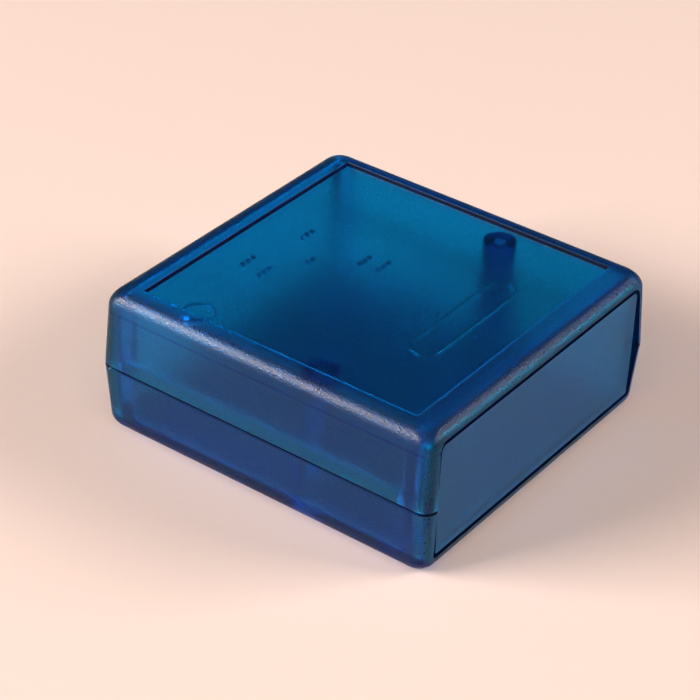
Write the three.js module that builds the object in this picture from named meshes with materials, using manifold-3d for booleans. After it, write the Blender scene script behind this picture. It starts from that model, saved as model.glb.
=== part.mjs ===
// Translucent two-part plastic instrument case with two removable end panels and two self-tapping screws.
// Millimetres, +Z up. The origin is the centre of the underside, and the front end panel faces -Y.
import * as THREE from 'three';
import { mergeVertices } from 'three/addons/utils/BufferGeometryUtils.js';
import Module from 'manifold-3d';

const wasm = await Module();
wasm.setup();

// Whole case
const width = 66.2; // along X, at the parting plane
const length = 68.8; // along Y, at the parting plane
const height = 28;
const partingZ = 13.2; // where the cover meets the case
const gap = 0.3; // room left between pieces that touch
const cornerRadius = 2.6; // plan radius of the four vertical corners
const coverDraft = 0.74; // how far the cover's walls lean in by the top
const caseDraft = 0.8; // how far the case's walls lean in by the underside
const topEdgeRadius = 3.4;
const bottomEdgeRadius = 3;

// Inside
const floorTop = 2;
const recess = { halfX: 28.4, halfY: 28.1, depth: 0.9 }; // sunk field on top for a label or keypad
const ceiling = 25.5; // underside of the cover's plate
const tongue = { halfY: 27.8, inner: 31.1, outer: 31.9, top: 15 }; // lap joint along the side walls
const post = { innerX: 29.9, nearY: 28.1, farY: 30.9 }; // corner posts that back the end panels

// Sections across X and Z: of the end openings, the space inside and the panels' grooves
const opening = {
  mid: 30.5,
  top: 29.9,
  bottom: 29.95,
  zTop: ceiling,
  zBottom: 2.9,
  rTop: 1.8,
  rBottom: 0.8,
};
const cavity = {
  mid: 31.1,
  top: 30.5,
  bottom: 30.4,
  zTop: ceiling,
  zBottom: floorTop,
  rTop: 1.2,
  rBottom: 2,
};
const groove = { mid: 31.9, top: 31.2, bottom: 31.1, zTop: 26.1, zBottom: 1.5, rTop: 2.4, rBottom: 3 };
const grooveY = { near: 30.9, far: 32.5 };

// End panels: a raised face that leaves a gap inside the opening, and a flange behind it in the groove
const panel = { mid: 29.5, top: 29.3, bottom: 29.3, zTop: 24.8, zBottom: 3.5, rTop: 1.2, rBottom: 0.5 };
const panelFaceY = 33.7;
const flange = { near: 31.2, far: 32.2 };

// Screws and what they pass through
const screwX = 25.75;
const screwY = -7.4;
const bossRadius = 2.95;
const bossBottom = 11.7;
const bossHole = { radius: 1.7, top: 22.2 }; // room for the screw's thread
const pilotHole = { radius: 1.1, top: 25.1 };
const columnRadius = 3.7;
const columnTop = 11.4;
const counterbore = { radius: 2.9, top: 7.8 };
const screwHead = { radius: 2.6, bottom: 5.7, top: 7.5, crown: 0.5 };
const screwShank = { radius: 1.4, top: 19.8, tip: 21.6 };

// Board standoffs on the floor of the case
const standoff = { x: 22.5, y: 23, radius: 2.5, top: 6, holeRadius: 1, holeBottom: 2.6 };

const roundSteps = 5; // facets in a quarter turn of an edge or corner
const holeSides = 20;

const blue = 0x0a4a86;
const shellMaterial = new THREE.MeshStandardMaterial({ color: blue, roughness: 0.45, metalness: 0 });
const panelMaterial = new THREE.MeshStandardMaterial({ color: 0x2c5c94, roughness: 0.35, metalness: 0 });
const screwMaterial = new THREE.MeshStandardMaterial({ color: 0xb4b7ba, roughness: 0.35, metalness: 1 });

// A closed mesh, its shared vertices merged, as a solid that can be joined and cut.
function toSolid(geometry) {
  const bare = geometry.index ? geometry.toNonIndexed() : geometry.clone();
  bare.deleteAttribute('normal');
  bare.deleteAttribute('uv');
  const merged = mergeVertices(bare, 1e-5);
  const vertProperties = new Float32Array(merged.attributes.position.array);
  const triVerts = new Uint32Array(merged.index.array);
  return new wasm.Manifold(new wasm.Mesh({ numProp: 3, vertProperties, triVerts }));
}

function toMesh(name, solid, material) {
  const result = solid.getMesh();
  const geometry = new THREE.BufferGeometry();
  geometry.setAttribute('position', new THREE.BufferAttribute(new Float32Array(result.vertProperties), 3));
  geometry.setIndex(new THREE.BufferAttribute(new Uint32Array(result.triVerts), 1));
  const mesh = new THREE.Mesh(geometry, material);
  mesh.name = name;
  return mesh;
}

function box(x0, x1, y0, y1, z0, z1) {
  const geometry = new THREE.BoxGeometry(x1 - x0, y1 - y0, z1 - z0);
  geometry.translate((x0 + x1) / 2, (y0 + y1) / 2, (z0 + z1) / 2);
  return toSolid(geometry);
}

function cylinder(x, y, radius, z0, z1) {
  const geometry = new THREE.CylinderGeometry(radius, radius, z1 - z0, holeSides);
  geometry.rotateX(Math.PI / 2);
  geometry.translate(x, y, (z0 + z1) / 2);
  return toSolid(geometry);
}

function joinAll(solids) {
  return solids.reduce((whole, next) => whole.add(next));
}

// The outline of a rectangle with round corners, as points in the plane of height z.
function ring({ halfX, halfY, radius, z }) {
  const corners = [[1, 1], [-1, 1], [-1, -1], [1, -1]];
  const points = [];
  corners.forEach(([sx, sy], quarter) => {
    for (let step = 0; step <= roundSteps; step += 1) {
      const angle = (quarter + step / roundSteps) * (Math.PI / 2);
      const x = sx * (halfX - radius) + radius * Math.cos(angle);
      const y = sy * (halfY - radius) + radius * Math.sin(angle);
      points.push(new THREE.Vector3(x, y, z));
    }
  });
  return points;
}

// A closed skin through rings stacked upwards, capped by a fan at each end.
function loft(sections) {
  const rings = sections.map(ring);
  const around = rings[0].length;
  const vertices = rings.flat();
  const index = [];
  for (let level = 0; level + 1 < rings.length; level += 1) {
    for (let step = 0; step < around; step += 1) {
      const a = level * around + step;
      const b = level * around + ((step + 1) % around);
      index.push(a, b, b + around, a, b + around, a + around);
    }
  }
  const top = (rings.length - 1) * around;
  for (let step = 1; step + 1 < around; step += 1) {
    index.push(0, step + 1, step);
    index.push(top, top + step, top + step + 1);
  }
  const geometry = new THREE.BufferGeometry().setFromPoints(vertices);
  geometry.setIndex(index);
  return toSolid(geometry);
}

// Outer rings of one half of the case, from the parting plane to its far edge at zEnd.
function shellSections(zStart, zEnd, draft, edgeRadius) {
  const up = Math.sign(zEnd - partingZ);
  const lean = (z) => (draft * (z - partingZ)) / (zEnd - partingZ);
  const zEdge = zEnd - up * edgeRadius;
  const section = (z, inset) => ({
    halfX: width / 2 - inset,
    halfY: length / 2 - inset,
    radius: cornerRadius,
    z,
  });
  const sections = [section(zStart, lean(zStart))];
  for (let step = 0; step <= roundSteps; step += 1) {
    const angle = (step / roundSteps) * (Math.PI / 2);
    const inset = lean(zEdge) + edgeRadius * (1 - Math.cos(angle));
    sections.push(section(zEdge + up * edgeRadius * Math.sin(angle), inset));
  }
  return up > 0 ? sections : sections.reverse();
}

// The inside section as a shape in X and Z, drawn in or out by an even margin.
function sectionShape({ mid, top, bottom, zTop, zBottom, rTop, rBottom }, margin = 0) {
  const halfMid = mid - margin;
  const halfTop = top - margin;
  const halfBottom = bottom - margin;
  const high = zTop - margin;
  const low = zBottom + margin;
  const r1 = Math.max(rTop - margin, 0.3);
  const r2 = Math.max(rBottom - margin, 0.3);
  const shape = new THREE.Shape();
  shape.moveTo(halfMid, partingZ);
  shape.lineTo(halfTop, high - r1);
  shape.quadraticCurveTo(halfTop, high, halfTop - r1, high);
  shape.lineTo(r1 - halfTop, high);
  shape.quadraticCurveTo(-halfTop, high, -halfTop, high - r1);
  shape.lineTo(-halfMid, partingZ);
  shape.lineTo(-halfBottom, low + r2);
  shape.quadraticCurveTo(-halfBottom, low, r2 - halfBottom, low);
  shape.lineTo(halfBottom - r2, low);
  shape.quadraticCurveTo(halfBottom, low, halfBottom, low + r2);
  shape.closePath();
  return shape;
}

// That shape swept along Y from y0 to y1.
function sweep(shape, y0, y1) {
  const geometry = new THREE.ExtrudeGeometry(shape, {
    depth: y1 - y0,
    bevelEnabled: false,
    curveSegments: roundSteps,
  });
  geometry.rotateX(Math.PI / 2);
  geometry.translate(0, y1, 0);
  return toSolid(geometry);
}

// Everything that both halves are hollowed by: the space inside, the panels' grooves and the end openings.
function hollow() {
  return joinAll([
    sweep(sectionShape(cavity), -grooveY.near, grooveY.near),
    sweep(sectionShape(groove), -grooveY.far, -grooveY.near),
    sweep(sectionShape(groove), grooveY.near, grooveY.far),
    sweep(sectionShape(opening), -length, length),
  ]);
}

function atFourCorners(make) {
  const solids = [];
  for (const sx of [-1, 1]) {
    for (const sy of [-1, 1]) {
      solids.push(make(sx, sy));
    }
  }
  return joinAll(solids);
}

// Corner posts from z0 to z1, joined to the side walls.
function posts(z0, z1) {
  return atFourCorners((sx, sy) => {
    const xs = [sx * post.innerX, sx * tongue.outer].sort((a, b) => a - b);
    const ys = [sy * post.nearY, sy * post.farY].sort((a, b) => a - b);
    return box(xs[0], xs[1], ys[0], ys[1], z0, z1);
  });
}

function bothSides(make) {
  return make(-1).add(make(1));
}

function topCover() {
  const skirtBottom = partingZ + gap / 2;
  const outer = loft(shellSections(skirtBottom, height, coverDraft, topEdgeRadius));
  const { halfX, halfY, depth } = recess;
  const field = box(-halfX, halfX, -halfY, halfY, height - depth, height + 1);
  const inside = posts(skirtBottom, ceiling + 0.5).intersect(outer);
  const bosses = bothSides((side) => cylinder(side * screwX, screwY, bossRadius, bossBottom, ceiling + 0.5));
  const bores = bothSides((side) => {
    const clearance = cylinder(side * screwX, screwY, bossHole.radius, bossBottom - 1, bossHole.top);
    return clearance.add(cylinder(side * screwX, screwY, pilotHole.radius, bossBottom, pilotHole.top));
  });
  const rabbet = bothSides((side) => {
    const xs = [side * (post.innerX - 1), side * (tongue.outer + gap)].sort((a, b) => a - b);
    return box(xs[0], xs[1], -tongue.halfY - gap, tongue.halfY + gap, partingZ - 1, tongue.top + gap);
  });
  return outer.subtract(hollow()).subtract(field).add(inside).subtract(rabbet).add(bosses).subtract(bores);
}

function bottomCase() {
  const rimTop = partingZ - gap / 2;
  const outer = loft(shellSections(rimTop, 0, caseDraft, bottomEdgeRadius));
  const inside = posts(floorTop - 0.5, rimTop).intersect(outer);
  const tongues = bothSides((side) => {
    const xs = [side * tongue.inner, side * tongue.outer].sort((a, b) => a - b);
    return box(xs[0], xs[1], -tongue.halfY, tongue.halfY, rimTop - 1, tongue.top);
  });
  const columns = bothSides((side) => {
    const xs = [side * screwX, side * tongue.outer].sort((a, b) => a - b);
    const web = box(xs[0], xs[1], screwY - 0.6, screwY + 0.6, floorTop - 0.5, columnTop - 1);
    return cylinder(side * screwX, screwY, columnRadius, floorTop - 0.5, columnTop).add(web.intersect(outer));
  });
  const wells = bothSides((side) => {
    const head = cylinder(side * screwX, screwY, counterbore.radius, -1, counterbore.top);
    return head.add(cylinder(side * screwX, screwY, bossHole.radius, 0, columnTop + 1));
  });
  const standoffs = atFourCorners((sx, sy) => {
    const x = sx * standoff.x;
    const y = sy * standoff.y;
    const stem = cylinder(x, y, standoff.radius, floorTop - 0.5, standoff.top);
    return stem.subtract(cylinder(x, y, standoff.holeRadius, standoff.holeBottom, standoff.top + 1));
  });
  const shell = outer.subtract(hollow()).add(inside).add(tongues);
  return shell.add(columns).add(standoffs).subtract(wells);
}

// side is -1 for the front panel and 1 for the rear one.
function endPanel(side) {
  const span = (near, far) => [side * near, side * far].sort((a, b) => a - b);
  const face = sweep(sectionShape(panel), ...span(flange.near, panelFaceY));
  const rim = sweep(sectionShape(groove, gap), ...span(flange.near, flange.far));
  return face.add(rim);
}

// A pan-headed self-tapping screw, turned about its own axis, with the head at the bottom.
function coverScrew(side) {
  const { radius, bottom, top, crown } = screwHead;
  const profile = [
    [0, bottom],
    [radius * 0.6, bottom + crown * 0.2],
    [radius, bottom + crown * 1.4],
    [radius, top],
    [screwShank.radius, top],
    [screwShank.radius, screwShank.top],
    [0, screwShank.tip],
  ];
  const geometry = new THREE.LatheGeometry(profile.map(([r, z]) => new THREE.Vector2(r, z)), holeSides);
  geometry.rotateX(Math.PI / 2);
  geometry.translate(side * screwX, screwY, 0);
  return toSolid(geometry);
}

const instrumentCase = new THREE.Group();
instrumentCase.add(
  toMesh('bottom_case', bottomCase(), shellMaterial),
  toMesh('top_cover', topCover(), shellMaterial),
  toMesh('front_end_panel', endPanel(-1), panelMaterial),
  toMesh('rear_end_panel', endPanel(1), panelMaterial),
  toMesh('cover_screw_left', coverScrew(-1), screwMaterial),
  toMesh('cover_screw_right', coverScrew(1), screwMaterial),
);

export default instrumentCase;
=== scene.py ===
"""Looks of a translucent blue two-part instrument case with end panels and two self-tapping screws."""
import math

import bmesh
import bpy
from mathutils import Matrix, Vector


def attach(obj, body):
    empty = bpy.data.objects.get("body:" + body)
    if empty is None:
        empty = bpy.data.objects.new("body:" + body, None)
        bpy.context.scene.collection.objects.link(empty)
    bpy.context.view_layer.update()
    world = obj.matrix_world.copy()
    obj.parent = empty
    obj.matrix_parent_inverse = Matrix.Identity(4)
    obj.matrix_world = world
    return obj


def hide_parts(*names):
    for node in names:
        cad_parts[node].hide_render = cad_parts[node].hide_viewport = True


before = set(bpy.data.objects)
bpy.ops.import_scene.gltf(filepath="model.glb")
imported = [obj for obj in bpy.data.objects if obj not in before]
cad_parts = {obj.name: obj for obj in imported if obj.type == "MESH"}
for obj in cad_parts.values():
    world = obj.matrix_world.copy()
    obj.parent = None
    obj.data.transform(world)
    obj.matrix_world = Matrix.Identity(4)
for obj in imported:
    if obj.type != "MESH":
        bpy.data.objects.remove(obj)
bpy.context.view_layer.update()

MM = 0.001

# Sizes in millimetres, in the frame's own axes
WIDTH = 66.2
LENGTH = 68.8
HEIGHT = 28.0
PARTING_Z = 13.2
GAP = 0.3
CORNER_RADIUS = 2.6
COVER_DRAFT = 0.74
CASE_DRAFT = 0.8
TOP_EDGE_RADIUS = 3.4
BOTTOM_EDGE_RADIUS = 3.0
FLOOR_TOP = 2.0
CEILING = 25.5
EDGE_ROUND = 0.14  # the small round on every moulded edge

RECESS = {"half_x": 28.4, "half_y": 28.1, "depth": 0.9}
TONGUE = {"half_y": 27.8, "inner": 31.1, "outer": 31.9, "top": 15.0}
POST = {"inner_x": 29.9, "near_y": 28.1, "far_y": 30.9}

# Cross-sections along the case: half widths at the parting plane, top and bottom, heights and corner radii
OPENING = {"mid": 30.5, "top": 29.9, "bottom": 29.95, "z_top": 25.5, "z_bottom": 2.9,
           "r_top": 1.8, "r_bottom": 0.8}
PANEL = {"mid": 29.5, "top": 29.3, "bottom": 29.3, "z_top": 24.8, "z_bottom": 3.5,
         "r_top": 1.2, "r_bottom": 0.5}
CAVITY = {"mid": 31.1, "top": 30.5, "bottom": 30.4, "z_top": CEILING, "z_bottom": FLOOR_TOP,
          "r_top": 1.2, "r_bottom": 2.0}
GROOVE = {"mid": 31.9, "top": 31.2, "bottom": 31.1, "z_top": 26.1, "z_bottom": 1.5,
          "r_top": 2.4, "r_bottom": 3.0}
SMALLEST_CORNER = 0.3
GROOVE_Y = {"near": 30.9, "far": 32.5}
PANEL_FACE_Y = 33.7
FLANGE = {"near": 31.2, "far": 32.2}
OVERLAP = 0.5  # how far a solid runs into the one that it joins

SCREW_X = 25.75
SCREW_Y = -7.4
BOSS = {"radius": 2.95, "bottom": 11.7, "hole": 1.7, "hole_top": 22.2, "pilot": 1.1, "pilot_top": 25.1}
COLUMN = {"radius": 3.7, "top": 11.4, "well": 2.9, "well_top": 7.8}
STANDOFF = {"x": 22.5, "y": 23.0, "radius": 2.5, "top": 6.0, "hole": 1.0, "hole_bottom": 2.6}
SOFT_TOP = 0.2  # the round on the tops of columns and standoffs
RIB = {"half_y": 0.6, "outer": 31.4, "bottom": 2.6, "top": 10.4}  # from each column to the wall

# Plain marks sunk into the underside of the cover's plate, shown with a darker painted shade tint
DOT_ROWS = [(-8.1, 22.1, 3), (-9.1, 17.8, 3), (5.3, 19.6, 3), (-1.2, 13.9, 2), (4.8, 6.7, 3),
            (5.4, 3.1, 3), (-12.0, 4.7, 2), (-5.9, 4.6, 3), (-5.0, -10.4, 7),
            (-2.1, -12.6, 3)]  # x of the middle, y, number of dots
DOT = {"radius": 0.5, "pitch": 1.4, "depth": 0.7, "sides": 14}
EJECTOR_MARK = {"x": -25.9, "y": 18.2, "radius": 2.9, "depth": 0.5}
BLANK_FRAME = {"x": 1.0, "y": -16.8, "half_x": 13.7, "half_y": 2.75, "depth": 0.8}
MARK_LINE = 0.3  # width of the circle's and the frame's lines

# Fine line round the cover, under its rounded top edge; its faces take the darker mark tint, painted shade
WITNESS = {"z": 24.0, "depth": 0.05, "half_height": 0.24, "half_floor": 0.12}

SCREW = {"head": 2.6, "bottom": 5.7, "seat": 7.5, "crown": 0.8, "edge": 0.12, "neck": 0.2, "core": 1.02,
         "top": 19.8, "tip": 21.6, "point": 0.06, "sides": 40, "crown_steps": 9, "shank_steps": 150}
THREAD = {"height": 0.38, "pitch": 1.1, "half_share": 0.3, "run_out": 0.8, "fade": 2.0}
CROSS = {"arm": 1.45, "half_width": 0.3, "bottom": 5.0, "floor": 6.9}

# Kinds of surface; the last two are opaque dark paint, painted shade. The darker tints of the boss, mark, edge
# and rim kinds are painted shade too.
KINDS = ("inside", "boss", "mark", "field", "outside", "edge", "lap", "rim", "wall", "gap")
FINISH = {kind: place / (len(KINDS) - 1) for place, kind in enumerate(KINDS)}
OPAQUE = (FINISH["wall"], FINISH["gap"])
NEAR = 0.02  # slack for telling which surface a face lies on
ON_SKIN = 0.05

ARC_STEPS = 10  # segments in a quarter turn of an outer edge
SECTION_STEPS = 8  # and of a cross-section's corner
ROUND_STEPS = 3  # and of a small round
HOLE_SIDES = 48
BEVEL_WIDTH = 0.1
BEVEL_ANGLE = 35


# ---------------------------------------------------------------- meshes

def new_object(name, mesh):
    piece = bpy.data.objects.new(name, mesh)
    bpy.context.scene.collection.objects.link(piece)
    return piece


def from_faces(name, points, faces):
    """A mesh object in metres from points in millimetres, its faces turned outwards."""
    mesh = bpy.data.meshes.new(name)
    mesh.from_pydata([Vector(p) * MM for p in points], [], faces)
    work = bmesh.new()
    work.from_mesh(mesh)
    bmesh.ops.recalc_face_normals(work, faces=work.faces)
    work.to_mesh(mesh)
    work.free()
    return new_object(name, mesh)


def stack(name, rings):
    """A closed skin through rings of points of equal number."""
    around = len(rings[0])
    points = [p for ring in rings for p in ring]
    faces = []
    for level in range(len(rings) - 1):
        for step in range(around):
            a = level * around + step
            b = level * around + (step + 1) % around
            faces.append((a, b, b + around, a + around))
    last = (len(rings) - 1) * around
    faces.append(tuple(range(around))[::-1])
    faces.append(tuple(range(last, last + around)))
    return from_faces(name, points, faces)


def quarter(steps):
    """The angles of a quarter turn, ends included."""
    return [step / steps * math.pi / 2 for step in range(steps + 1)]


def rounded_ring(half_x, half_y, radius, z):
    points = []
    for place, (sx, sy) in enumerate([(1, 1), (-1, 1), (-1, -1), (1, -1)]):
        for step in range(ARC_STEPS + 1):
            angle = (place + step / ARC_STEPS) * math.pi / 2
            x = sx * (half_x - radius) + radius * math.cos(angle)
            y = sy * (half_y - radius) + radius * math.sin(angle)
            points.append((x, y, z))
    return points


def box(x0, x1, y0, y1, z0, z1):
    ring = [(x0, y0), (x1, y0), (x1, y1), (x0, y1)]
    return stack("box", [[(x, y, z) for x, y in ring] for z in (z0, z1)])


def cylinder(x, y, radius, z0, z1, sides=HOLE_SIDES, soft=0.0):
    """An upright cylinder; soft rounds its upper edge."""
    levels = [(z0, radius), (z1 - soft, radius)]
    if soft:
        for angle in quarter(ROUND_STEPS)[1:]:
            levels.append((z1 - soft + soft * math.sin(angle), radius - soft * (1 - math.cos(angle))))
    turn = [2 * math.pi * k / sides for k in range(sides)]
    return stack("cylinder", [[(x + r * math.cos(a), y + r * math.sin(a), z) for a in turn] for z, r in levels])


def combine(piece, other, operation):
    """Joins the other solid to the piece or cuts it away, and deletes it."""
    modifier = piece.modifiers.new("combine", "BOOLEAN")
    modifier.operation = operation
    modifier.solver = "EXACT"
    modifier.object = other
    bpy.context.view_layer.update()
    graph = bpy.context.evaluated_depsgraph_get()
    mesh = bpy.data.meshes.new_from_object(piece.evaluated_get(graph))
    piece.modifiers.clear()
    old = piece.data
    piece.data = mesh
    bpy.data.meshes.remove(old)
    used = other.data
    bpy.data.objects.remove(other)
    bpy.data.meshes.remove(used)
    return piece


def cut(piece, *others):
    for other in others:
        combine(piece, other, "DIFFERENCE")
    return piece


def join(piece, *others):
    for other in others:
        combine(piece, other, "UNION")
    return piece


def common(piece, other):
    return combine(piece, other, "INTERSECT")


# ---------------------------------------------------------------- shapes of the case

def lean(z, z_end, draft):
    return draft * (z - PARTING_Z) / (z_end - PARTING_Z)


def shell_levels(z_start, z_end, draft, edge_radius):
    """(height, inset) of the outer skin, from the parting plane to the far edge."""
    up = math.copysign(1, z_end - PARTING_Z)
    z_edge = z_end - up * edge_radius
    levels = []
    for angle in quarter(ROUND_STEPS):
        z = z_start + up * EDGE_ROUND * (1 - math.cos(angle))
        levels.append((z, lean(z, z_end, draft) + EDGE_ROUND * (1 - math.sin(angle))))
    if up > 0:
        for side, half, depth in ((-1, "half_height", 0), (-1, "half_floor", WITNESS["depth"]),
                                  (1, "half_floor", WITNESS["depth"]), (1, "half_height", 0)):
            z = WITNESS["z"] + side * WITNESS[half]
            levels.append((z, lean(z, z_end, draft) + depth))
    for angle in quarter(ARC_STEPS):
        inset = lean(z_edge, z_end, draft) + edge_radius * (1 - math.cos(angle))
        levels.append((z_edge + up * edge_radius * math.sin(angle), inset))
    return levels


def outer_skin(name, z_start, z_end, draft, edge_radius):
    rings = []
    for z, inset in shell_levels(z_start, z_end, draft, edge_radius):
        rings.append(rounded_ring(WIDTH / 2 - inset, LENGTH / 2 - inset, CORNER_RADIUS, z))
    if z_end < z_start:
        rings.reverse()
    return stack(name, rings)


def section_outline(section, margin=0.0):
    """The inside section as points across X and Z, drawn in by an even margin."""
    half_mid = section["mid"] - margin
    half_top = section["top"] - margin
    half_bottom = section["bottom"] - margin
    high = section["z_top"] - margin
    low = section["z_bottom"] + margin
    r_top = max(section["r_top"] - margin, SMALLEST_CORNER)
    r_bottom = max(section["r_bottom"] - margin, SMALLEST_CORNER)
    right = [(half_mid, PARTING_Z)]
    for angle in quarter(SECTION_STEPS):
        x = half_top - r_top * (1 - math.cos(angle))
        right.append((x, high - r_top * (1 - math.sin(angle))))
    under = []
    for angle in quarter(SECTION_STEPS):
        x = half_bottom - r_bottom * (1 - math.sin(angle))
        under.append((x, low + r_bottom * (1 - math.cos(angle))))
    left = [(-x, z) for x, z in reversed(right)]
    return right + left + [(-x, z) for x, z in reversed(under)] + under


def sweep(outline, y0, y1):
    return stack("sweep", [[(x, y, z) for x, z in outline] for y in (y0, y1)])


def hollow():
    """The space inside both halves, with the panels' grooves and the openings in both ends."""
    inside = sweep(section_outline(CAVITY), -GROOVE_Y["near"], GROOVE_Y["near"])
    front = sweep(section_outline(GROOVE), -GROOVE_Y["far"], -GROOVE_Y["near"] + 0.01)
    rear = sweep(section_outline(GROOVE), GROOVE_Y["near"] - 0.01, GROOVE_Y["far"])
    through = sweep(section_outline(OPENING), -LENGTH, LENGTH)
    return join(inside, front, rear, through)


def side_box(side, x_inner, x_outer, y0, y1, z0, z1):
    x0, x1 = sorted((side * x_inner, side * x_outer))
    return box(x0, x1, y0, y1, z0, z1)


def posts(z0, z1, outer):
    """The four corner posts, kept within the outer skin."""
    made = []
    for sx in (-1, 1):
        for sy in (-1, 1):
            y0, y1 = sorted((sy * POST["near_y"], sy * POST["far_y"]))
            made.append(side_box(sx, POST["inner_x"], TONGUE["outer"], y0, y1, z0, z1))
    first = join(made[0], *made[1:])
    copy = new_object("outer copy", outer.data.copy())
    return common(first, copy)


def recess_cutter():
    """The sunk field: a sharp-cornered block with a small round where it meets the rim."""
    floor_z = HEIGHT - RECESS["depth"]
    levels = [(floor_z, -0.04), (floor_z + 0.06, 0.0)]
    for angle in quarter(ROUND_STEPS):
        levels.append((HEIGHT - EDGE_ROUND * (1 - math.sin(angle)), EDGE_ROUND * (1 - math.cos(angle))))
    levels.append((HEIGHT + 1, EDGE_ROUND))
    rings = []
    for z, grow in levels:
        x = RECESS["half_x"] + grow
        y = RECESS["half_y"] + grow
        rings.append([(-x, -y, z), (x, -y, z), (x, y, z), (-x, y, z)])
    return stack("recess", rings)


def plate_marks():
    """Cutters for rows of plain dots, an ejector pin's circle and a blank frame."""
    low = CEILING - 1
    made = []
    for x, y, count in DOT_ROWS:
        for place in range(count):
            at = x + (place - (count - 1) / 2) * DOT["pitch"]
            made.append(cylinder(at, y, DOT["radius"], low, CEILING + DOT["depth"], sides=DOT["sides"]))
    disc = EJECTOR_MARK
    circle = cylinder(disc["x"], disc["y"], disc["radius"], low, CEILING + disc["depth"])
    centre = cylinder(disc["x"], disc["y"], disc["radius"] - MARK_LINE, low - 1, CEILING + 2)
    made.append(cut(circle, centre))
    blank = BLANK_FRAME
    slabs = []
    for shrink, z0, z1 in ((0, low, CEILING + blank["depth"]), (MARK_LINE, low - 1, CEILING + 2)):
        half_y = blank["half_y"] - shrink
        ring = rounded_ring(blank["half_x"] - shrink, half_y, half_y - 0.05, 0)
        placed = [(x + blank["x"], y + blank["y"]) for x, y, _ in ring]
        slabs.append(stack("slab", [[(x, y, z) for x, y in placed] for z in (z0, z1)]))
    made.append(cut(*slabs))
    return made


def make_cover():
    skirt = PARTING_Z + GAP / 2
    cover = outer_skin("cover", skirt, HEIGHT, COVER_DRAFT, TOP_EDGE_RADIUS)
    inside = posts(skirt, CEILING + OVERLAP, cover)
    cut(cover, hollow(), recess_cutter())
    join(cover, inside)
    for side in (-1, 1):
        x = side * SCREW_X
        half_y = TONGUE["half_y"] + GAP
        cut(cover, side_box(side, POST["inner_x"] - 1, TONGUE["outer"] + GAP,
                            -half_y, half_y, PARTING_Z - 1, TONGUE["top"] + GAP))
        join(cover, cylinder(x, SCREW_Y, BOSS["radius"], BOSS["bottom"], CEILING + OVERLAP))
        cut(cover, cylinder(x, SCREW_Y, BOSS["hole"], BOSS["bottom"] - 1, BOSS["hole_top"]))
        cut(cover, cylinder(x, SCREW_Y, BOSS["pilot"], BOSS["bottom"], BOSS["pilot_top"]))
    marks = plate_marks()
    return cut(cover, join(marks[0], *marks[1:]))


def make_case():
    rim = PARTING_Z - GAP / 2
    case = outer_skin("case", rim, 0, CASE_DRAFT, BOTTOM_EDGE_RADIUS)
    inside = posts(FLOOR_TOP - OVERLAP, rim, case)
    cut(case, hollow())
    join(case, inside)
    for side in (-1, 1):
        x = side * SCREW_X
        join(case, side_box(side, TONGUE["inner"], TONGUE["outer"],
                            -TONGUE["half_y"], TONGUE["half_y"], rim - 1, TONGUE["top"]))
        join(case, cylinder(x, SCREW_Y, COLUMN["radius"], FLOOR_TOP - OVERLAP, COLUMN["top"], soft=SOFT_TOP))
        join(case, side_box(side, SCREW_X, RIB["outer"], SCREW_Y - RIB["half_y"], SCREW_Y + RIB["half_y"],
                            RIB["bottom"], RIB["top"]))
        cut(case, cylinder(x, SCREW_Y, COLUMN["well"], -1, COLUMN["well_top"]))
        cut(case, cylinder(x, SCREW_Y, BOSS["hole"], 0, COLUMN["top"] + 1))
    for sx in (-1, 1):
        for sy in (-1, 1):
            x = sx * STANDOFF["x"]
            y = sy * STANDOFF["y"]
            join(case, cylinder(x, y, STANDOFF["radius"], FLOOR_TOP - OVERLAP, STANDOFF["top"], soft=SOFT_TOP))
            cut(case, cylinder(x, y, STANDOFF["hole"], STANDOFF["hole_bottom"], STANDOFF["top"] + 1))
    return case


def make_panel(side):
    def span(near, far):
        return sorted((side * near, side * far))

    face = sweep(section_outline(PANEL), *span(FLANGE["near"], PANEL_FACE_Y))
    rim = sweep(section_outline(GROOVE, GAP), *span(FLANGE["near"], FLANGE["far"]))
    return join(face, rim)


def thread_height(z, angle):
    """How far the thread's ridge stands out of the screw's core."""
    turn = (z / THREAD["pitch"] - angle / (2 * math.pi)) % 1
    ridge = max(0.0, 1 - abs(turn - 0.5) / THREAD["half_share"])
    fade = min(1.0, (z - SCREW["seat"]) / THREAD["run_out"], (SCREW["tip"] - z) / THREAD["fade"])
    return THREAD["height"] * ridge * max(0.0, fade)


def make_screw(side):
    """A pan-headed self-tapping screw with a cross recess, head down."""
    levels = []
    for angle in quarter(SCREW["crown_steps"])[1:]:
        z = SCREW["bottom"] + SCREW["crown"] * (1 - math.cos(angle))
        levels.append((z, SCREW["head"] * math.sin(angle), False))
    levels.append((SCREW["seat"] - SCREW["edge"], SCREW["head"], False))
    levels.append((SCREW["seat"], SCREW["head"] - SCREW["edge"], False))
    levels.append((SCREW["seat"], SCREW["core"] + SCREW["neck"], False))
    start = SCREW["seat"] + 0.1
    for step in range(SCREW["shank_steps"] + 1):
        z = start + (SCREW["tip"] - start) * step / SCREW["shank_steps"]
        narrow = min(1.0, max(SCREW["point"], (SCREW["tip"] - z) / (SCREW["tip"] - SCREW["top"])))
        levels.append((z, SCREW["core"] * narrow, True))
    rings = []
    for z, radius, threaded in levels:
        ring = []
        for place in range(SCREW["sides"]):
            angle = 2 * math.pi * place / SCREW["sides"]
            r = radius + (thread_height(z, angle) if threaded else 0)
            ring.append((side * SCREW_X + r * math.cos(angle), SCREW_Y + r * math.sin(angle), z))
        rings.append(ring)
    screw = stack("screw", rings)
    x = side * SCREW_X
    arms = []
    for dx, dy in ((CROSS["arm"], CROSS["half_width"]), (CROSS["half_width"], CROSS["arm"])):
        arms.append(box(x - dx, x + dx, SCREW_Y - dy, SCREW_Y + dy, CROSS["bottom"], CROSS["floor"]))
    return cut(screw, join(*arms))


# ---------------------------------------------------------------- finish of each face

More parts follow.
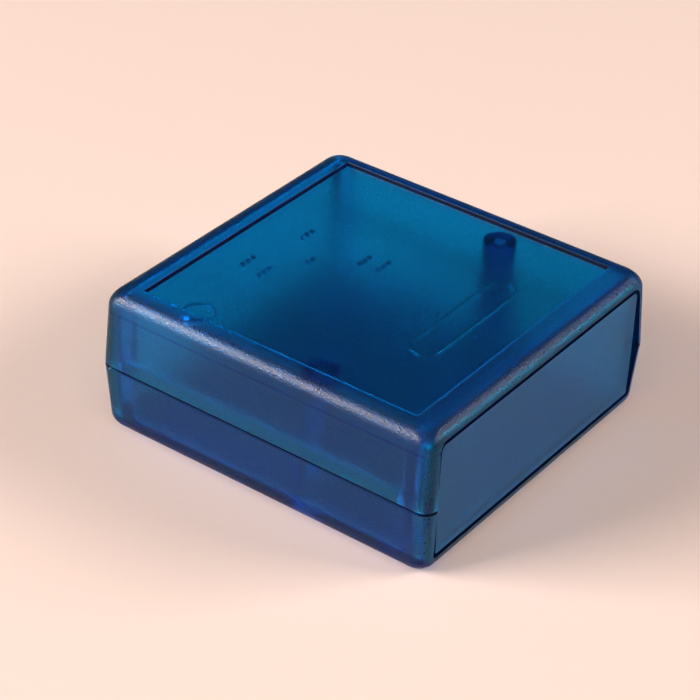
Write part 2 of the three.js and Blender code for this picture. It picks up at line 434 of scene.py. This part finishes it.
def skin_distance(x, y, z):
    """How far a point lies outside the case's outer skin, in mm, seen from above."""
    if z >= PARTING_Z:
        levels = shell_levels(PARTING_Z, HEIGHT, COVER_DRAFT, TOP_EDGE_RADIUS)
    else:
        levels = shell_levels(PARTING_Z, 0, CASE_DRAFT, BOTTOM_EDGE_RADIUS)
    for (z0, inset0), (z1, inset1) in zip(levels, levels[1:]):
        if min(z0, z1) <= z <= max(z0, z1) and z0 != z1:
            break
    share = (z - z0) / (z1 - z0)
    inset = inset0 + (inset1 - inset0) * share
    over_x = abs(x) - (WIDTH / 2 - inset - CORNER_RADIUS)
    over_y = abs(y) - (LENGTH / 2 - inset - CORNER_RADIUS)
    return math.hypot(max(over_x, 0), max(over_y, 0)) + min(max(over_x, over_y), 0) - CORNER_RADIUS


def shell_finish(centre, normal):
    """Which kind of surface a face of the shells belongs to."""
    x, y, z = centre
    across = abs(x)
    along = abs(y)
    rounding = EDGE_ROUND + NEAR
    field_z = HEIGHT - RECESS["depth"]
    in_field = across < RECESS["half_x"] + rounding and along < RECESS["half_y"] + rounding
    if in_field and z > field_z - NEAR:
        if abs(normal.z) < 0.3:
            # Steep faces of the sunk field get the opaque painted shade.
            return FINISH["wall"]
        return FINISH["field"] if normal.z > 0.9 else FINISH["rim"]
    if z < 0.01 or z > HEIGHT - 0.01 or abs(skin_distance(x, y, z)) < 0.04:
        if abs(z - PARTING_Z) < GAP / 2 + EDGE_ROUND:
            # The parting line's rounds get the opaque painted shade of the gap.
            return FINISH["gap"]
        if abs(z - WITNESS["z"]) < WITNESS["half_height"]:
            return FINISH["mark"]
        # Rounded edges and corners shift towards the darker edge tint, painted shade.
        curve = min(1, (1 - max(abs(c) for c in normal)) / 0.2)
        return FINISH["outside"] + (FINISH["edge"] - FINISH["outside"]) * curve
    if along > GROOVE_Y["far"] - NEAR or (abs(normal.z) > 0.99 and abs(z - PARTING_Z) < GAP):
        # Faces in the end openings and on the parting plane get the opaque painted shade of the gap.
        return FINISH["gap"]
    from_boss = math.hypot(across - SCREW_X, y - SCREW_Y) - BOSS["radius"]
    if abs(from_boss) < ON_SKIN and z > BOSS["bottom"] - ON_SKIN:
        return FINISH["boss"]
    in_plate = across < RECESS["half_x"] and along < POST["near_y"]
    if in_plate and CEILING + NEAR < z < field_z - 0.1:
        in_frame = abs(y - BLANK_FRAME["y"]) < BLANK_FRAME["half_y"] + 0.25
        # The blank frame gets the opaque painted shade; the other marks get the darker mark tint, also painted
        # shade.
        return FINISH["wall"] if in_frame else FINISH["mark"]
    lap_top = TONGUE["top"] + GAP
    if abs(z - lap_top) < ON_SKIN and CAVITY["top"] < across < TONGUE["outer"] + GAP - ON_SKIN:
        # The top of the lap gets the opaque painted shade.
        return FINISH["wall"]
    in_lap = PARTING_Z - GAP < z < lap_top + ON_SKIN and along < TONGUE["half_y"] + GAP + 0.01
    if in_lap and across > TONGUE["outer"] - ON_SKIN:
        return FINISH["lap"]
    return FINISH["inside"]


def panel_finish(centre, normal):
    """The sheet's face, its rim in the gap (painted shade), or its inner side."""
    if abs(centre.y) > PANEL_FACE_Y - NEAR:
        return FINISH["outside"]
    return FINISH["gap"] if abs(centre.y) > FLANGE["far"] - NEAR else FINISH["inside"]


def mark_finish(piece, finish_of):
    """Stores each face's finish, for the roughness, texture and tint of its material; faces of the two opaque
    kinds go on the painted shade materials.
    """
    values = [finish_of(polygon.center / MM, polygon.normal) for polygon in piece.data.polygons]
    layer = piece.data.attributes.new("finish", "FLOAT", "FACE")
    layer.data.foreach_set("value", values)
    for polygon, value in zip(piece.data.polygons, values):
        polygon.material_index = OPAQUE.index(value) + 1 if value in OPAQUE else 0


def soften(piece):
    """Rounds the sharp edges of a finished solid a little, and shades it smooth."""
    bevel = piece.modifiers.new("edge round", "BEVEL")
    bevel.width = BEVEL_WIDTH * MM
    bevel.segments = 2
    bevel.limit_method = "ANGLE"
    bevel.angle_limit = math.radians(BEVEL_ANGLE)
    bevel.use_clamp_overlap = True
    for polygon in piece.data.polygons:
        polygon.use_smooth = True
    weighted = piece.modifiers.new("normals", "WEIGHTED_NORMAL")
    weighted.keep_sharp = True


# ---------------------------------------------------------------- materials

GRAIN_SCALE = 2800  # per metre
GRAIN_DEPTH = 0.1
ROUGHNESS_MOTTLE = 0.32
TINT_MOTTLE = 0.09


def by_finish(nodes, links, finish, values):
    """A colour ramp with one flat value for each kind of surface."""
    ramp = nodes.new("ShaderNodeValToRGB")
    stops = ramp.color_ramp.elements
    for _ in range(len(KINDS) - len(stops)):
        stops.new(0.5)
    for stop, kind in zip(stops, KINDS):
        value = values[kind]
        stop.position = FINISH[kind]
        stop.color = (*value, 1) if isinstance(value, tuple) else (value, value, value, 1)
    links.new(finish.outputs["Fac"], ramp.inputs["Fac"])
    return ramp.outputs["Color"]


def plastic(name, absorb, density, clear, gloss, roughness, tint, grain):
    """Clear coloured plastic, whose roughness, tint and grain follow the kind of surface; the darker tints of
    some kinds are painted shade.
    """
    material = bpy.data.materials.new(name)
    material.use_nodes = True
    nodes = material.node_tree.nodes
    links = material.node_tree.links
    shader = nodes["Principled BSDF"]
    shader.inputs["IOR"].default_value = 1.4
    shader.inputs["Specular Tint"].default_value = (gloss, gloss, gloss, 1)
    shader.inputs["Transmission Weight"].default_value = clear
    volume = nodes.new("ShaderNodeVolumeAbsorption")
    volume.inputs["Color"].default_value = (*absorb, 1)
    volume.inputs["Density"].default_value = density
    links.new(volume.outputs["Volume"], nodes["Material Output"].inputs["Volume"])

    finish = nodes.new("ShaderNodeAttribute")
    finish.attribute_name = "finish"
    place = nodes.new("ShaderNodeTexCoord")
    noise = nodes.new("ShaderNodeTexNoise")
    noise.inputs["Scale"].default_value = GRAIN_SCALE
    noise.inputs["Detail"].default_value = 2
    noise.inputs["Roughness"].default_value = 0.5
    links.new(place.outputs["Object"], noise.inputs["Vector"])

    spread = nodes.new("ShaderNodeMapRange")
    for socket, value in (("From Min", 0.32), ("From Max", 0.68), ("To Min", -1), ("To Max", 1)):
        spread.inputs[socket].default_value = value
    links.new(noise.outputs["Fac"], spread.inputs["Value"])
    strength = by_finish(nodes, links, finish, grain)
    mottle = nodes.new("ShaderNodeMath")
    mottle.operation = "MULTIPLY"
    links.new(spread.outputs["Result"], mottle.inputs[0])
    links.new(strength, mottle.inputs[1])

    def mottled(colour, middle, amount):
        """The colour times a factor that follows the grain of that surface."""
        factor = nodes.new("ShaderNodeMath")
        factor.operation = "MULTIPLY_ADD"
        factor.inputs[1].default_value = amount
        factor.inputs[2].default_value = middle
        scaled = nodes.new("ShaderNodeVectorMath")
        scaled.operation = "SCALE"
        links.new(mottle.outputs["Value"], factor.inputs[0])
        links.new(colour, scaled.inputs[0])
        links.new(factor.outputs["Value"], scaled.inputs["Scale"])
        return scaled.outputs["Vector"]

    rough = mottled(by_finish(nodes, links, finish, roughness), 1, -ROUGHNESS_MOTTLE)
    links.new(rough, shader.inputs["Roughness"])
    coloured = mottled(by_finish(nodes, links, finish, tint), 1 - TINT_MOTTLE, TINT_MOTTLE)
    links.new(coloured, shader.inputs["Base Color"])
    bump = nodes.new("ShaderNodeBump")
    bump.inputs["Distance"].default_value = GRAIN_DEPTH * MM
    links.new(noise.outputs["Fac"], bump.inputs["Height"])
    links.new(strength, bump.inputs["Strength"])
    links.new(bump.outputs["Normal"], shader.inputs["Normal"])
    return material


def dark(name, colour):
    """Opaque dark paint, painted shade: for steep faces and for the unlit inside of a narrow gap."""
    material = bpy.data.materials.new(name)
    material.use_nodes = True
    shader = material.node_tree.nodes["Principled BSDF"]
    shader.inputs["Base Color"].default_value = (*colour, 1)
    shader.inputs["Roughness"].default_value = 0.7
    shader.inputs["Specular IOR Level"].default_value = 0.1
    return material


def metal(name):
    """Zinc-plated steel with a mottled sheen."""
    material = bpy.data.materials.new(name)
    material.use_nodes = True
    nodes = material.node_tree.nodes
    links = material.node_tree.links
    shader = nodes["Principled BSDF"]
    shader.inputs["Metallic"].default_value = 1
    place = nodes.new("ShaderNodeTexCoord")
    noise = nodes.new("ShaderNodeTexNoise")
    noise.inputs["Scale"].default_value = 1500
    noise.inputs["Detail"].default_value = 4
    links.new(place.outputs["Object"], noise.inputs["Vector"])
    for socket, low, high in (("Base Color", (0.58, 0.58, 0.57), (0.74, 0.75, 0.77)),
                              ("Roughness", (0.2, 0.2, 0.2), (0.42, 0.42, 0.42))):
        ramp = nodes.new("ShaderNodeValToRGB")
        ramp.color_ramp.elements[0].position = 0.35
        ramp.color_ramp.elements[0].color = (*low, 1)
        ramp.color_ramp.elements[1].position = 0.65
        ramp.color_ramp.elements[1].color = (*high, 1)
        links.new(noise.outputs["Fac"], ramp.inputs["Fac"])
        links.new(ramp.outputs["Color"], shader.inputs[socket])
    return material


# ---------------------------------------------------------------- camera, lights, floor

CAMERA = {"azimuth": -54.502, "elevation": 33.924, "roll": 2.348, "distance": 416.6, "lens": 124.06,
          "aim_right": -4.57, "aim_up": -0.543}
FLOOR_HALF = 1500
FLOOR_DROP = 0.02  # keeps the floor just clear of the underside


def make_camera():
    azimuth, elevation, roll = (math.radians(CAMERA[a]) for a in ("azimuth", "elevation", "roll"))
    flat = math.cos(elevation)
    back = Vector((math.sin(azimuth) * flat, -math.cos(azimuth) * flat, math.sin(elevation)))
    level = (-back).cross(Vector((0, 0, 1))).normalized()
    upright = level.cross(-back)
    right = math.cos(roll) * level + math.sin(roll) * upright
    up = -math.sin(roll) * level + math.cos(roll) * upright
    aim = Vector((0, 0, HEIGHT / 2)) + right * CAMERA["aim_right"] + up * CAMERA["aim_up"]
    data = bpy.data.cameras.new("camera")
    data.sensor_width = 36
    data.lens = CAMERA["lens"]
    data.clip_start = 0.01
    camera = bpy.data.objects.new("camera", data)
    turned = Matrix((right, up, back)).transposed().to_4x4()
    camera.matrix_world = Matrix.Translation((aim + back * CAMERA["distance"]) * MM) @ turned
    bpy.context.scene.collection.objects.link(camera)
    bpy.context.scene.camera = camera


def area_light(name, direction, distance, size, power, colour, in_gloss=True, in_diffuse=True):
    """A soft box in a direction from the case, turned towards it."""
    data = bpy.data.lights.new(name, "AREA")
    data.shape = "RECTANGLE"
    data.size, data.size_y = size
    data.energy = power
    data.color = colour
    light = bpy.data.objects.new(name, data)
    aim = Vector((0, 0, HEIGHT / 2 * MM))
    light.location = aim + Vector(direction).normalized() * distance
    light.rotation_euler = (aim - light.location).to_track_quat("-Z", "Y").to_euler()
    light.visible_glossy = in_gloss
    light.visible_diffuse = in_diffuse
    light.visible_transmission = in_diffuse
    bpy.context.scene.collection.objects.link(light)


def make_floor():
    corners = [(sx * FLOOR_HALF, sy * FLOOR_HALF, 0) for sx, sy in ((-1, -1), (1, -1), (1, 1), (-1, 1))]
    floor = from_faces("floor", corners, [(0, 1, 2, 3)])
    floor.location.z = -FLOOR_DROP * MM
    material = bpy.data.materials.new("paper")
    material.use_nodes = True
    shader = material.node_tree.nodes["Principled BSDF"]
    shader.inputs["Base Color"].default_value = (0.86, 0.72, 0.66, 1)
    shader.inputs["Roughness"].default_value = 0.9
    floor.data.materials.append(material)


make_camera()
make_floor()

world = bpy.data.worlds.new("world")
bpy.context.scene.world = world
world.use_nodes = True
world.node_tree.nodes["Background"].inputs["Color"].default_value = (1.0, 0.93, 0.88, 1)
world.node_tree.nodes["Background"].inputs["Strength"].default_value = 0.03
bpy.context.scene.view_settings.view_transform = "Standard"
bpy.context.scene.view_settings.look = "Medium High Contrast"

area_light("key", (-0.67, 0.59, 0.45), 1.8, (1.1, 0.44), 37, (1, 0.90, 0.84))
area_light("sheen", (-0.67, 0.59, 0.47), 1.8, (1.1, 0.6), 30, (1, 0.86, 0.80), in_diffuse=False)
area_light("fill", (0.50, -0.71, 0.48), 1.5, (0.83, 0.5), 15, (1, 0.90, 0.84))
area_light("overhead", (-0.45, -0.32, 0.95), 1.1, (0.8, 0.8), 2.8, (1, 0.90, 0.84), in_gloss=False)

# Only the clear and sheet blues are the plastic's own colour; the darker tints below are painted shade on
# bosses, marks, rounded edges, the field's rim and shaded faces.
CLEAR_BLUE = (0.1, 0.98, 1.0)
EDGE_SHADE_BLUE = (0.07, 0.65, 0.88)
# Darker tint on the field's edge round: painted shade.
RIM_SHADE_BLUE = (0.03, 0.3, 0.5)
# Darker tint on the sunk marks and the fine line: painted shade.
MARK_SHADE_BLUE = (0.06, 0.6, 0.85)
# Darker tint on the screw bosses: painted shade.
BOSS_SHADE_BLUE = (0.04, 0.4, 0.65)
SHADED = (0.01, 0.02, 0.04)
SHEET_BLUE = (0.12, 0.95, 1.0)
shell = plastic(
    "blue shell", absorb=(0.0, 0.9, 0.99), density=2000, clear=0.985, gloss=0.7,
    roughness={"inside": 0.15, "boss": 0.4, "mark": 0.5, "field": 0.31, "outside": 0.44, "edge": 0.34,
               "lap": 1.0, "rim": 0.3, "wall": 0.5, "gap": 0.5},
    tint={"inside": CLEAR_BLUE, "boss": BOSS_SHADE_BLUE, "mark": MARK_SHADE_BLUE, "field": CLEAR_BLUE,
          "outside": CLEAR_BLUE, "edge": EDGE_SHADE_BLUE, "lap": CLEAR_BLUE, "rim": RIM_SHADE_BLUE,
          "wall": SHADED, "gap": SHADED},
    grain={"inside": 0.0, "boss": 0.0, "mark": 0.0, "field": 0.4, "outside": 1.1, "edge": 0.85,
           "lap": 0.5, "rim": 0.3, "wall": 0.3, "gap": 0.3})
panel = plastic(
    "blue panel", absorb=(0.0, 0.9, 0.992), density=1450, clear=0.95, gloss=0.9,
    roughness={kind: 0.2 if kind == "inside" else 0.4 for kind in KINDS},
    tint={kind: SHADED if kind in ("wall", "gap") else SHEET_BLUE for kind in KINDS},
    grain={kind: 0.0 if kind == "inside" else 0.45 for kind in KINDS})
# Opaque painted shade: dark navy on the field's steep walls, the blank frame and the lap top, near black in the
# gaps and openings.
steep = dark("steep wall painted shade", (0.001, 0.012, 0.045))
shade = dark("gap painted shade", (0.001, 0.003, 0.012))
steel = metal("screw steel")

PIECES = [
    ("cover_shell", make_cover(), "cover", "top_cover", shell, "shell", shell_finish),
    ("case_shell", make_case(), "case", "bottom_case", shell, "shell", shell_finish),
    ("front_panel_sheet", make_panel(-1), "front_panel", "front_end_panel", panel, "end_panel", panel_finish),
    ("rear_panel_sheet", make_panel(1), "rear_panel", "rear_end_panel", panel, "end_panel", panel_finish),
    ("left_screw", make_screw(-1), "screw_left", "cover_screw_left", steel, "screw", None),
    ("right_screw", make_screw(1), "screw_right", "cover_screw_right", steel, "screw", None),
]
for name, piece, body, node, material, slot, finish_of in PIECES:
    piece.name = name
    if finish_of:
        mark_finish(piece, finish_of)
    piece.data.materials.clear()
    piece.data.materials.append(material)
    if finish_of:
        # The two opaque painted shade materials, for the faces of the wall and gap kinds.
        piece.data.materials.append(steep)
        piece.data.materials.append(shade)
    soften(piece)
    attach(piece, body)
    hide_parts(node)
